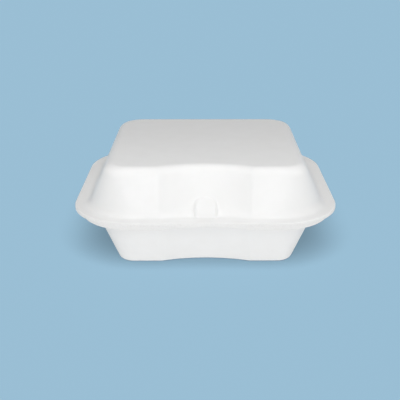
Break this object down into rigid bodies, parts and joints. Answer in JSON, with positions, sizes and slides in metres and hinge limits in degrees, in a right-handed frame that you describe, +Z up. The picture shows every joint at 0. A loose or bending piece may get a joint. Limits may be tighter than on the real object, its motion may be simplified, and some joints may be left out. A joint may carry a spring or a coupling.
{
  "type": "hinged foam food container",
  "caption": "Square white food container pressed from foam sheet: a sloping-walled tray and a domed lid joined by a crease at the back, with a scooped front and a locking tongue.",
  "frame": {"origin": "middle of the underside, on the surface that the container stands on", "axes": "+X along the crease, +Y from the scooped front to the crease at the back, +Z up through the lid"},
  "size_m": [0.212, 0.2, 0.0835],
  "materials": {
    "foam": "smooth satin white polystyrene foam sheet"
  },
  "bodies": {
    "base": {"base_tray": "foam"},
    "lid": {"hinged_lid": "foam"}
  },
  "joints": [
    {"name": "lid_hinge", "type": "hinge", "parent": "base", "child": "lid", "pos_m": [0, 0.1, 0.044], "axis": [-1, 0, 0], "range_deg": [0, 180]}
  ]
}
